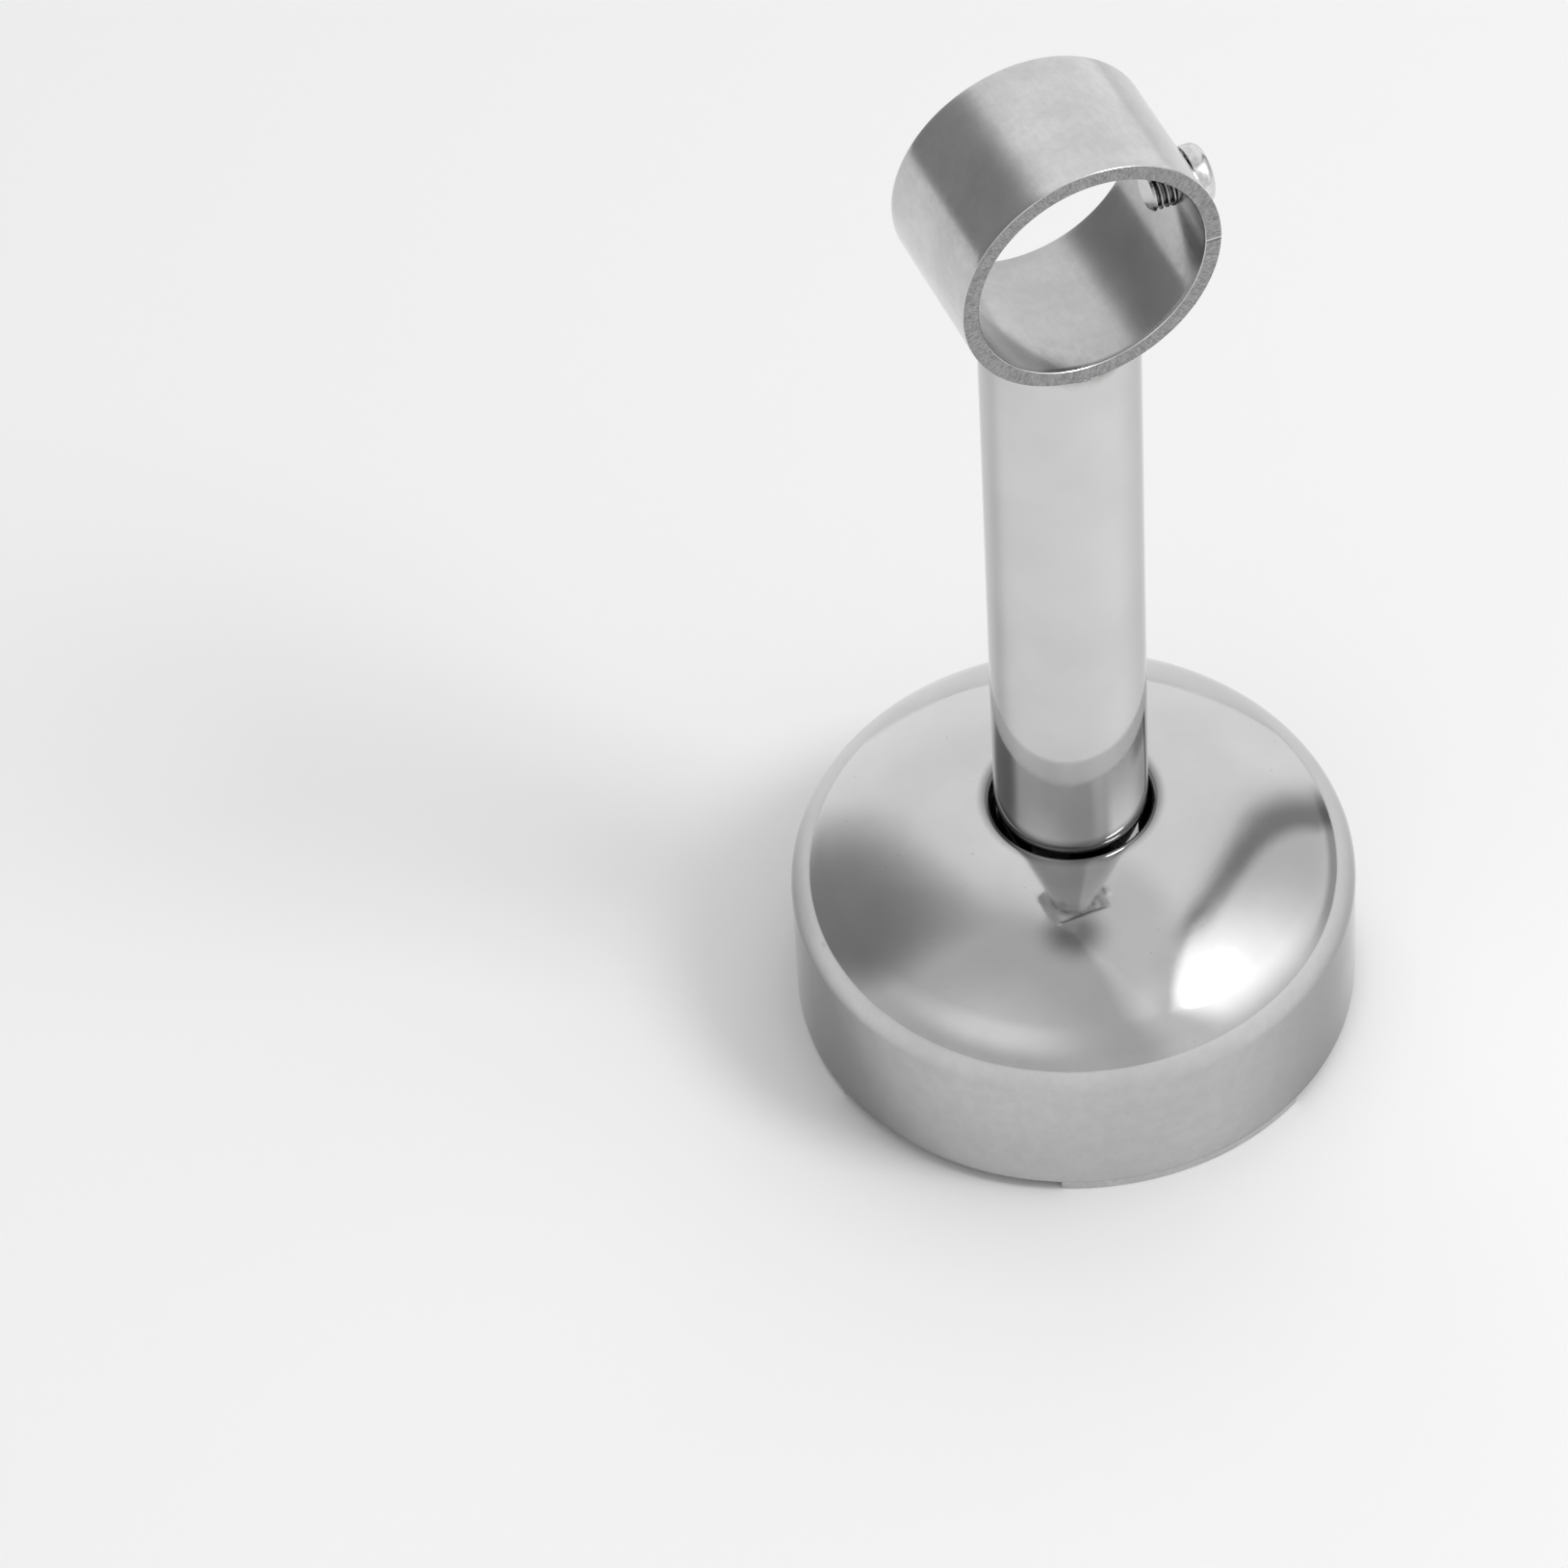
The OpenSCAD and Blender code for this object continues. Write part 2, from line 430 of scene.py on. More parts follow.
def wear(finish, low, high, scratch, shift=0.0):
    """Roughness of polished metal: soft blotches from low to high, and upright hairline scratches."""
    x, y, z = finish.split()
    blotch = finish.noise(finish.join(finish.plus(x, shift), y, z), 90, detail=5, roughness=0.6)
    lines = finish.noise(finish.join(x, y, finish.times(z, 0.03)), 2600, detail=2)
    scratches = finish.times(finish.span(lines, 0.64, 0.74), scratch)
    return finish.plus(finish.span(blotch, 0.35, 0.7, low, high), scratches)


def polished_cover():
    finish = Finish("cover_steel", grey(0.62))
    x, y, z = finish.split()
    radius = finish.length(x, y)
    cloud = finish.span(finish.noise(finish.place, 45, detail=4), 0.3, 0.7)
    skin = finish.mix(cloud, grey(0.58), grey(0.66))
    # the straight wall is hazier than the domed top, and painted shade darkens it where it turns away from
    # the eye
    wall_top = RIM_Z + WALL_H
    wall = finish.fade(z, wall_top * MM, (wall_top + 7) * MM)
    haze = finish.span(finish.noise(finish.place, 520, detail=6, roughness=0.7), 0.36, 0.64)
    wall_painted_edge_shade = finish.span(finish.facing(), 0.36, 0.8, 0.0, 0.9)
    skin = finish.over(skin, wall, grey(0.46), 0.4)
    skin = finish.over(skin, finish.times(wall, haze), grey(0.38), 0.2)
    skin = finish.over(skin, finish.times(wall, wall_painted_edge_shade), grey(0.2))
    dust = finish.span(finish.noise(finish.place, 900, detail=2), 0.72, 0.78)
    skin = finish.over(skin, dust, grey(0.42), 0.4)
    # painted shade: a dark strip on top, round the hole, standing in for the reflected dark gap
    hole_strip_painted_shade = finish.fade(radius, 10.3 * MM, 11.9 * MM, 0.85)
    skin = finish.over(skin, finish.times(hole_strip_painted_shade, finish.span(z, 29 * MM, 31 * MM)), grey(0.16))
    # the inside is left dull from spinning, and painted dark as shade inside the cap
    across, along, up = finish.normal()
    outward = finish.plus(finish.times(across, x), finish.times(along, y))
    outward = finish.math("DIVIDE", outward, radius)
    inside = finish.span(finish.plus(outward, up), -0.1, -0.3)
    finish.color(finish.over(skin, inside, grey(0.1)))
    polish = wear(finish, 0.05, 0.105, 0.06)
    finish.roughness(finish.math("MAXIMUM", polish, finish.times(inside, 0.45)))
    # faint rings from spinning
    angle = finish.math("ARCTAN2", y, x)
    turned = finish.join(finish.times(angle, 0.004), radius, z)
    finish.bump(finish.noise(turned, 1500, detail=2), 0.0000012)
    return finish.material


def polished_post():
    finish = Finish("post_steel", grey(0.64))
    x, y, z = finish.split()
    cloud = finish.span(finish.noise(finish.place, 60, detail=3), 0.3, 0.7)
    skin = finish.mix(cloud, grey(0.60), grey(0.66))
    # painted shade darkens both sides, where the post turns away from the eye; the sawn foot is dark too
    skin = finish.over(skin, finish.span(finish.facing(), 0.45, 0.95, 0.0, 0.75), grey(0.28))
    foot = finish.fade(z, (POST_Z + 0.3) * MM, (POST_Z + 1) * MM, 0.9)
    skin = finish.over(skin, foot, grey(0.13))
    # heat from the weld, down to a ragged edge
    arch = finish.math("SQRT", finish.minus((RING_R * MM) ** 2, finish.times(x, x)))
    below = finish.minus(finish.minus(RAIL_H * MM, arch), z)
    uneven = finish.minus(finish.noise(finish.place, 500, detail=3), 0.5)
    heat = finish.fade(finish.plus(below, finish.times(uneven, 0.0016)), 0.0004, 0.0022)
    finish.color(finish.over(skin, heat, grey(0.30, 0.03), 0.6))
    finish.roughness(wear(finish, 0.03, 0.07, 0.05, shift=0.3))
    return finish.material


def satin_ring():
    finish = Finish("ring_steel", grey(0.64))
    x, y, z = finish.split()
    up = finish.minus(z, RAIL_H * MM)
    angle = finish.math("ARCTAN2", up, x)
    radius = finish.length(x, up)
    depth = finish.math("ABSOLUTE", y)
    end = finish.span(depth, (RING_HALF - 0.05) * MM, (RING_HALF - 0.02) * MM)
    bevel = finish.span(depth, (RING_HALF - 0.22) * MM, (RING_HALF - 0.14) * MM)
    bevel = finish.times(bevel, finish.minus(1.0, end))
    inside = finish.fade(radius, (BORE_R + 0.05) * MM, (BORE_R + 0.3) * MM)
    # the outside and the bore: fine grain along the tube, and cloudy polish
    lengthwise = finish.join(finish.times(angle, 0.016), finish.times(y, 0.06), finish.times(radius, 0.1))
    grain = finish.noise(lengthwise, 3200, detail=4, roughness=0.65)
    cloud = finish.noise(finish.place, 150, detail=5, roughness=0.65)
    mottle = finish.noise(finish.place, 900, detail=4, roughness=0.7)
    skin = finish.mix(finish.span(cloud, 0.3, 0.7), grey(0.58), grey(0.68))
    skin = finish.over(skin, finish.span(mottle, 0.4, 0.7, 0.0, 0.22), grey(0.48))
    skin = finish.over(skin, finish.span(grain, 0.35, 0.75, 0.0, 0.2), grey(0.50))
    skin = finish.over(skin, inside, grey(0.38), 0.4)
    # heat from the weld round the post, much fainter inside the bore
    low = finish.span(up, -0.004, -0.007)
    near = finish.fade(finish.apart(finish.length(x, y), (POST_R + 0.3) * MM), 0.0004, 0.0026)
    heat = finish.times(near, low, finish.span(inside, 0.0, 1.0, 0.55, 0.12))
    skin = finish.over(skin, heat, grey(0.24, 0.03))
    # the seam of the rolled tube, near the screw: a bright line beside a groove that is only painted shade
    seam = finish.fade(finish.apart(angle, -0.02), 0.003, 0.008)
    seam_groove_painted_shade = finish.fade(finish.apart(angle, -0.036), 0.004, 0.012)
    skin = finish.over(skin, finish.times(seam_groove_painted_shade, inside), grey(0.3), 0.35)
    # both edges are bright where they are broken, the bore's more than the outer one
    worn = finish.span(inside, 0.0, 1.0, 0.35, 0.85)
    skin = finish.over(skin, finish.times(bevel, worn), grey(0.86))
    # the sawn ends: fine marks across the wall
    sawn = finish.join(finish.times(angle, 0.016), finish.times(radius, 0.3), finish.times(y, 0.1))
    marks = finish.noise(sawn, 6500, detail=4, roughness=0.7)
    face = finish.mix(finish.span(marks, 0.34, 0.68), grey(0.17), grey(0.42))
    face = finish.over(face, finish.span(mottle, 0.3, 0.7, 0.0, 0.4), grey(0.42))
    # painted shade of the seam's groove across the sawn end
    face = finish.over(face, seam_groove_painted_shade, grey(0.08), 0.7)
    face = finish.over(face, seam, grey(0.8), 0.9)
    finish.color(finish.mix(end, skin, face))
    satin = finish.plus(finish.times(grain, 0.1), finish.span(mottle, 0.3, 0.7, 0.1, 0.16))
    finish.roughness(finish.span(end, 0.0, 1.0, satin, 0.48, smooth=False))
    finish.bump(grain, 0.000002)
    finish.bump(finish.times(marks, end), 0.00002)
    return finish.material


def bead_steel():
    finish = Finish("weld_steel", grey(0.35))
    cloud = finish.noise(finish.place, 700, detail=4)
    finish.color(finish.mix(finish.span(cloud, 0.35, 0.65), grey(0.14, 0.04), grey(0.55)))
    finish.roughness(finish.span(cloud, 0.3, 0.7, 0.45, 0.18))
    finish.bump(finish.noise(finish.place, 2600, detail=3), 0.00003)
    return finish.material


def tumbled_plate():
    finish = Finish("plate_steel", grey(0.6))
    x, y, z = finish.split()
    radius = finish.length(x, y)
    broad = finish.noise(finish.place, 120, detail=4, roughness=0.6)
    mottle = finish.noise(finish.place, 900, detail=7, roughness=0.78, distortion=0.4)
    flecks = finish.noise(finish.place, 2600, detail=3, roughness=0.6)
    skin = finish.mix(finish.span(mottle, 0.34, 0.66), grey(0.40), grey(0.70))
    skin = finish.over(skin, finish.span(broad, 0.4, 0.65, 0.0, 0.5), grey(0.44))
    # darker on the underside: in the bead, and with painted shade in the funnel under the collar
    patchy = finish.span(finish.noise(finish.place, 380, detail=6, roughness=0.7), 0.3, 0.6, 0.45, 1.0)
    bead = finish.fade(finish.apart(radius, (BEAD_R + 0.1) * MM), 0.45 * MM, 1.1 * MM, 0.62)
    funnel_painted_shade = finish.span(radius, 18 * MM, 10.5 * MM, 0.0, 0.85)
    dark_bead_and_funnel_shade = finish.times(finish.math("MAXIMUM", bead, funnel_painted_shade), patchy)
    below = finish.span(finish.normal()[2], 0.3, -0.1)
    skin = finish.over(skin, finish.times(dark_bead_and_funnel_shade, below), grey(0.26))
    skin = finish.over(skin, finish.span(flecks, 0.6, 0.72), grey(0.86), 0.7)
    sheared = finish.span(radius, (PLATE_R - 0.3) * MM, (PLATE_R - 0.1) * MM)
    finish.color(finish.over(skin, sheared, grey(0.55), 0.8))
    finish.roughness(finish.span(mottle, 0.3, 0.7, 0.52, 0.38))
    finish.bump(flecks, 0.000018)
    finish.bump(mottle, 0.00004)
    return finish.material


def plated_screw():
    finish = Finish("screw_steel", grey(0.78))
    x, y, z = finish.split()
    radius = finish.length(y, finish.minus(z, RAIL_H * MM))
    cloud = finish.noise(finish.place, 1300, detail=3)
    plating_and_painted_shade = finish.mix(finish.span(cloud, 0.3, 0.7), grey(0.58), grey(0.74))
    # painted shade: the shank, inside the ring, is darker than the head
    shank = finish.fade(x, (RING_R + 0.1) * MM, (RING_R + 0.19) * MM)
    plating_and_painted_shade = finish.over(plating_and_painted_shade, shank, grey(0.5), 0.4)
    # painted shade: the cross recess is dark in its depth
    deep = finish.fade(x, (HEAD_END_X - 0.35) * MM, (HEAD_END_X - 0.06) * MM)
    head_start = HEAD_END_X - HEAD_H
    in_head = finish.span(x, (head_start + 0.3) * MM, (head_start + 0.4) * MM)
    central = finish.fade(radius, 2.35 * MM, 2.5 * MM)
    plating_and_painted_shade = finish.over(plating_and_painted_shade, finish.times(deep, in_head, central), grey(0.06), 0.9)
    # painted shade darkens the valleys of the thread too
    past_tip = finish.span(x, (TIP_X + 0.25) * MM, (TIP_X + 0.4) * MM)
    thread_valley_painted_shade = finish.fade(radius, (SCREW_R - 0.3) * MM, (SCREW_R - 0.06) * MM, 0.9)
    finish.color(finish.over(plating_and_painted_shade, finish.times(shank, past_tip, thread_valley_painted_shade), grey(0.2)))
    finish.roughness(finish.span(cloud, 0.3, 0.7, 0.12, 0.2))
    finish.bump(finish.noise(finish.place, 1800, detail=2), 0.000002)
    return finish.material


COVER_STEEL = polished_cover()
POST_STEEL = polished_post()
RING_STEEL = satin_ring()
WELD_STEEL = bead_steel()
PLATE_STEEL = tumbled_plate()
SCREW_STEEL = plated_screw()


def dress(made, material, body, node):
    """Gives a piece its finish and body, and says which CAD node it stands for."""
    made.data.materials.clear()
    made.data.materials.append(material)
    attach(made, body)
    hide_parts(node)


# ---- cover ----------------------------------------------------------------------

def cover_face(inset):
    """One face of the cover's sheet, from the rim to the hole's edge, which is turned down a little."""
    # the shoulder is part of an oval, up to where it is as steep as the dome's edge
    width, height = SHOULDER_W - inset, SHOULDER_H - inset
    meet = math.atan(height / (width * math.tan(DOME_SLOPE)))
    shoulder_steps = 56
    face = [(COVER_R - inset, RIM_Z)]
    for i in range(shoulder_steps + 1):
        a = meet * i / shoulder_steps
        r = COVER_R - SHOULDER_W + width * math.cos(a)
        face.append((r, RIM_Z + WALL_H + height * math.sin(a)))
    # the dome goes on in the same direction, and so does the curl at the hole
    dome_r = DOME_R - inset
    dome = (face[-1][0] - dome_r * math.sin(DOME_SLOPE), face[-1][1] - dome_r * math.cos(DOME_SLOPE))
    reach = DOME_R - HOLE_CURL_R
    hole_slope = math.asin((COVER_HOLE_R + HOLE_CURL_R * math.sin(HOLE_CURL) - dome[0]) / reach)
    face += slope_arc(dome, dome_r, DOME_SLOPE, hole_slope, 36)
    curl = (dome[0] + reach * math.sin(hole_slope), dome[1] + reach * math.cos(hole_slope))
    face += slope_arc(curl, HOLE_CURL_R - inset, hole_slope, -HOLE_CURL, 12)
    return face


def make_cover():
    step = 0.9
    outer = resampled(cover_face(0), step)
    inner = resampled(cover_face(COVER_T)[::-1], step)
    outline = outer + inner
    edges = {0: 0.2, len(outer) - 1: 0.05, len(outer): 0.01, len(outline) - 1: 0.12}
    cornered = [(*point, edges.get(i, 0)) for i, point in enumerate(outline)]
    made = piece("cover_shell", *lathe(rounded(cornered, 6), 320))
    waver(made, 0.02, 11, 1)
    waver(made, 0.006, 4, 2)
    smooth(made, 50)
    dress(made, COVER_STEEL, "cover", "cover")


make_cover()


# ---- post -----------------------------------------------------------------------

def saddle(x):
    """Height of the ring's underside over a point beside the post's axis."""
    return RAIL_H - math.sqrt(RING_R * RING_R - x * x)


def make_post():
    segments, rows = 256, 120
    overlap = 0.25
    points = []
    for a in bearings(segments):
        skins = []
        for r in (POST_R, POST_R - POST_WALL):
            x, y = polar(r, a)
            height = saddle(x) + overlap - POST_Z
            skins.append([(x, y, POST_Z + height * k / (rows - 1)) for k in range(rows)])
        outer, inner = skins
        points += outer + inner[::-1]
    made = piece("post_body", points, ring_faces(segments, 2 * rows))
    waver(made, 0.012, 9, 3)
    smooth(made, 40)
    dress(made, POST_STEEL, "bracket", "post_tube")


make_post()


# ---- ring -----------------------------------------------------------------------

def make_ring():
    parts = 24
    edge_out, edge_in = 0.15, 0.2
    between = [-RING_HALF + 2 * RING_HALF * s / parts for s in range(1, parts)]
    outline = [(BORE_R, -RING_HALF, edge_in), (RING_R, -RING_HALF, edge_out)]
    outline += [(RING_R, y, 0) for y in between]
    outline += [(RING_R, RING_HALF, edge_out), (BORE_R, RING_HALF, edge_in)]
    outline += [(BORE_R, y, 0) for y in reversed(between)]
    turned = Matrix.Translation((0, 0, RAIL_H)) @ Matrix.Rotation(math.radians(90), 4, "X")
    made = piece("ring_body", *lathe(rounded(outline, 5), 288), turned)
    # the screw's hole and its countersink, cut from inside the bore to past the ring's surface
    hole_r = SCREW_R + 0.05
    flare = math.tan(math.radians(60))
    start, stop = RING_R - 5, RING_R + 1
    hole = [
        (0, start),
        (hole_r, start),
        (hole_r, RING_R - (SINK_R - SCREW_R) / flare),
        (SINK_R, RING_R),
        (SINK_R + flare, stop),
        (0, stop),
    ]
    carve(made, [piece("ring_cutter", *lathe(hole, 72), along_x(0))])
    smooth(made, 25)
    dress(made, RING_STEEL, "bracket", "ring_collar")


make_ring()


# ---- weld between the ring and the post -----------------------------------------

def make_ring_weld():
    """A rippled fillet that follows the saddle and stays off the ring's ends."""
    segments, across = 640, 10
    ripple = 0.93
    down = Vector((0, 0, -1))
    points = []
    for a in bearings(segments):
        out = Vector((*polar(1, a), 0))
        corner = out * POST_R
        corner.z = saddle(corner.x)
        lean = Vector((corner.x / RING_R, 0, (corner.z - RAIL_H) / RING_R))
        away = (out - lean * out.dot(lean)).normalized()
        run = math.radians(a) * POST_R
        wander = 1.2 * noise.noise(Vector((run / 3, 1, 0)))
        puddle = 0.5 + 0.5 * math.sin(2 * math.pi * run / ripple + wander)
        drift = noise.noise(Vector((*polar(4, a), 2.0)))
        leg = 0.78 + 0.1 * drift + 0.07 * puddle
        room = max(0.12, RING_HALF - 0.3 - abs(corner.y)) / max(abs(away.y), 0.05)
        up_leg = min(leg, room)
        fullness = 0.62 + 0.12 * puddle
        low = corner + down * leg - out * 0.06
        high = corner + away * up_leg + lean * -0.06
        belly = corner + down * leg * fullness + away * up_leg * fullness
        points += bulge(low, belly, high, across)
        points.append(corner - out * 0.3 - lean * 0.3)
    made = piece("ring_bead", points, ring_faces(segments, across + 1))
    smooth(made, 60)
    dress(made, WELD_STEEL, "bracket", "ring_weld")


make_ring_weld()


# ---- clamp screw ----------------------------------------------------------------

SCREW_SEGMENTS = 128
TIP_CHAMFER = 0.3
SHANK_INTO_HEAD = 0.2


def thread_radius(phase, z):
    """Radius of the thread: narrow crests, rounded valleys, a chamfered tip and a run-out at the head."""
    fall = abs(2 * (phase % 1.0) - 1)
    valley = eased((fall - 0.14) / 0.62)
    run_out = min(1.0, max(0.0, (SHANK_L - z) / 0.3))
    run_in = min(1.0, max(0.0, (z - TIP_CHAMFER) / 0.3))
    radius = SCREW_R - 0.62 * PITCH * valley * run_out * run_in
    return min(radius, SCREW_R - TIP_CHAMFER + max(0.0, z))


def make_shank():
    """The threaded shank: rows that climb one pitch a turn, and join up one turn further on."""
    steps = 20
    rows = steps * (math.ceil(SHANK_L / PITCH) + 2)
    top = SHANK_L + SHANK_INTO_HEAD
    points, faces = [], []
    for k in range(rows + steps):
        for i, a in enumerate(bearings(SCREW_SEGMENTS)):
            z = min(max((k / steps + i / SCREW_SEGMENTS - 1) * PITCH, 0.0), top)
            points.append((*polar(thread_radius(k / steps, z), a), z))
    for k in range(rows):
        for i in range(SCREW_SEGMENTS):
            here = k * SCREW_SEGMENTS + i
            there = here + 1
            if i + 1 == SCREW_SEGMENTS:
                there = (k + steps) * SCREW_SEGMENTS
            faces.append((here, there, there + SCREW_SEGMENTS, here + SCREW_SEGMENTS))
    for z, r in ((0.0, SCREW_R - TIP_CHAMFER), (top, SCREW_R)):
        first = len(points)
        points += [(*polar(r, a), z) for a in bearings(SCREW_SEGMENTS)]
        faces.append(tuple(range(first, first + SCREW_SEGMENTS)))
    return piece("screw_shank", points, faces, along_x(TIP_X))


def recess_wing(turn):
    """One of the two bars that cut the cross recess: it narrows with depth, and starts above the head."""
    top_l, top_w, low_l, low_w, deep = 4.2, 0.95, 2.0, 0.55, 1.4
    above = 0.8
    grow_l, grow_w = (top_l - low_l) / deep * above, 0.2
    low_z, high_z = SHANK_L + HEAD_H - deep, SHANK_L + HEAD_H + above
    points = []
    for length, width, z in ((low_l, low_w, low_z), (top_l + grow_l, top_w + grow_w, high_z)):
        points += [(sx * length / 2, sy * width / 2, z) for sx, sy in ((-1, -1), (1, -1), (1, 1), (-1, 1))]
    sides = [(3, 2, 1, 0), (4, 5, 6, 7), (0, 1, 5, 4), (1, 2, 6, 5), (2, 3, 7, 6), (3, 0, 4, 7)]
    place = along_x(TIP_X) @ Matrix.Rotation(math.radians(turn), 4, "Z")
    return piece("screw_wing", points, sides, place)


def make_screw():
    shank = make_shank()
    round_steps = 14
    side_top = SHANK_L + HEAD_SIDE_H
    head = [(0, SHANK_L, 0), (HEAD_R, SHANK_L, 0.15), (HEAD_R, side_top, 0)]
    for i in range(1, round_steps + 1):
        x, y = polar(1, 90 * i / round_steps)
        r = HEAD_R - HEAD_ROUND_R + HEAD_ROUND_R * x - 0.02 * i / round_steps
        head.append((r, side_top + (HEAD_H - HEAD_SIDE_H) * y * 0.95, 0))
    head += [(1.1, SHANK_L + HEAD_H, 0), (0, SHANK_L + HEAD_H, 0)]
    made = piece("screw_head", *lathe(rounded(head, 5), SCREW_SEGMENTS), along_x(TIP_X))
    carve(made, [recess_wing(20), recess_wing(110)])
    absorb(made, shank)
    made.name = "screw_body"
    smooth(made, 38)
    dress(made, SCREW_STEEL, "screw", "clamp_screw")


make_screw()


# ---- base plate -----------------------------------------------------------------

def underside(x, y):
    """Height of the plate's lower face: the pressed bead, and the raised lips, which fade at their ends."""
    r = math.hypot(x, y)
    height = 0.0
    off = abs(r - BEAD_R)
    if off < BEAD_HALF_W:
        height += BEAD_DEPTH * 0.5 * (1 + math.cos(math.pi * off / BEAD_HALF_W))
    if r > LIP_START:
        bearing = math.degrees(math.atan2(y, x))
        turn = min(abs((bearing - a + 180) % 360 - 180) for a in LIP_ANGLES)
        run = r - LIP_START
        bend = LIP_BEND_R * math.sin(LIP_SLOPE)
        if run < bend:
            rise = LIP_BEND_R - math.sqrt(LIP_BEND_R ** 2 - run ** 2)
        else:
            rise = LIP_BEND_R * (1 - math.cos(LIP_SLOPE)) + (run - bend) * math.tan(LIP_SLOPE)
        height += rise * eased((LIP_HALF + 0.4 - turn) / 3.0)
    return height


def relief_cut(middle, side):
    """The outline at one end of a lip, from the tab's corner round the relief to the lip's corner."""
    end = LIP_HALF + 1
    hub = polar(RELIEF_HUB_R, middle + side * end)
    start = middle + side * (end + 90)
    cut = [(*polar(PLATE_R, middle + side * (end + math.degrees(RELIEF_R / PLATE_R))), 0.35)]
    cut += [(*point, 0) for point in arc(hub, RELIEF_R, start, start + side * 150, 12)]
    cut.append((*polar(LIP_R, middle + side * (LIP_HALF - 0.4)), 0.3))
    return cut


def plate_rim():
    """The plate's outline: three tabs, and three lips between them with a round relief at each end."""
    lip_parts, lip_reach = 60, LIP_HALF - 0.4
    tab_start = LIP_HALF + 1 + math.degrees(RELIEF_R / PLATE_R)
    rim = []
    for middle, following in looped(LIP_ANGLES):
        rim += relief_cut(middle, -1)
        for s in range(1, lip_parts):
            rim.append((*polar(LIP_R, middle + lip_reach * (2 * s / lip_parts - 1)), 0))
        rim += relief_cut(middle, 1)[::-1]
        start = middle + tab_start
        sweep = (following - middle) % 360 - 2 * tab_start
        parts = max(4, round(sweep / 0.8))
        rim += [(*polar(PLATE_R, start + sweep * s / parts), 0) for s in range(1, parts)]
    return rounded(rim, 4)


def slot_rim(side):
    """The outline of a fixing slot, clockwise, so that the metal is on its left."""
    made = []
    for end, start in ((1, 90), (-1, 270)):
        centre = (side * SLOT_X + end * SLOT_STRAIGHT / 2, 0)
        made += arc(centre, SLOT_W / 2, start, start - 180, 28)
    return made


def inset(loop, distance):
    """A closed outline moved to its left by a small distance."""
    made = []
    for i, point in enumerate(loop):
        along = (Vector(loop[(i + 1) % len(loop)]) - Vector(loop[i - 1])).normalized()
        made.append((point[0] - along.y * distance, point[1] + along.x * distance))
    return made


def is_inside(x, y, loop):
    """Whether a point is inside a closed outline: a ray from it then crosses it an odd number of times."""
    odd = False
    for (x0, y0), (x1, y1) in looped(loop):
        if (y0 > y) != (y1 > y) and x < (x1 - x0) * (y - y0) / (y1 - y0) + x0:
            odd = not odd
    return odd


def slot_distance(x, y):
    """Distance from a point to the nearest slot's centre line."""
    return min(math.hypot(max(abs(x - side * SLOT_X) - SLOT_STRAIGHT / 2, 0), y) for side in (-1, 1))


def sheet_points(rim):
    """Points spread over the sheet in rows round the post, closer where it is shaped, clear of the edges."""
    spacing, clear = 0.75, 0.55
    radii = [PLATE_INNER_R + 0.9 * i for i in range(1, 5)]
    radii += [BEAD_R - BEAD_HALF_W + 0.27 * i for i in range(13)]
    radii += [23.6 + 0.9 * i for i in range(6)] + [28.8]
    radii += [29.2 + 0.3 * i for i in range(19)]
    made = []
    for row, r in enumerate(radii):
        count = round(2 * math.pi * r / spacing)
        for i in range(count):
            x, y = polar(r, 360 * (i + 0.5 * (row % 2)) / count)
            if slot_distance(x, y) < SLOT_W / 2 + clear:
                continue
            if r > RELIEF_FLOOR_R - clear:
                from_rim = min(math.dist((x, y), q) for q in rim)
                if from_rim < clear or not is_inside(x, y, rim):
                    continue
            made.append((x, y))
    return made


def flat_sheet():
    """The sheet outside the collar, before it is pressed.

    Gives its points, how far each one is from a sheared edge, its triangles, and the loops of points on
    the edges. A point that isn't near an edge has a distance of 1.
    """
    given, distances, constraints, sheared = [], [], [], []

    def add_loop(loop, distance):
        ids = list(range(len(given), len(given) + len(loop)))
        given.extend(loop)
        distances.extend([distance] * len(loop))
        constraints.extend(looped(ids))
        return ids

    rim = plate_rim()
    for loop in (rim, slot_rim(1), slot_rim(-1)):
        steps = [add_loop(inset(loop, distance), distance) for distance in EDGE_LOOPS]
        sheared.append(steps[0])
    add_loop([polar(PLATE_INNER_R, a) for a in bearings(PLATE_SEGMENTS)], 1.0)
    spread = sheet_points(rim)
    given += spread
    distances += [1.0] * len(spread)

    result = delaunay_2d_cdt([Vector(p) for p in given], constraints, [], 0, 1e-5)
    flat, candidates, sources = result[0], result[2], result[3]
    triangles = []
    for face in candidates:
        x = sum(flat[v].x for v in face) / 3
        y = sum(flat[v].y for v in face) / 3
        r = math.hypot(x, y)
        if r < PLATE_INNER_R * math.cos(math.pi / PLATE_SEGMENTS) or slot_distance(x, y) < SLOT_W / 2:
            continue
        if r > RELIEF_FLOOR_R and not is_inside(x, y, rim):
            continue
        triangles.append(tuple(face))
    found = {k: i for i, merged in enumerate(sources) for k in merged}
    near = [min((distances[k] for k in merged), default=1.0) for merged in sources]
    return flat, near, triangles, [[found[k] for k in ids] for ids in sheared]


def edge_fall(distance, r):
    """How far a face falls back near a sheared edge with a rounding of radius r."""
    if distance >= r:
        return 0.0
    return r - math.sqrt(r ** 2 - (r - distance) ** 2)


def pressed(point, distance):
    """Where a point of the flat sheet lies on the lower and on the upper face of the pressed one."""
    step = 0.02
    z = underside(point.x, point.y)
    slope_x = (underside(point.x + step, point.y) - z) / step
    slope_y = (underside(point.x, point.y + step) - z) / step
    up = Vector((-slope_x, -slope_y, 1)).normalized()
    base = Vector((point.x, point.y, z))
    low = base + up * edge_fall(distance, LOW_EDGE_R)
    high = base + up * (PLATE_T - edge_fall(distance, HIGH_EDGE_R))
    return low, high


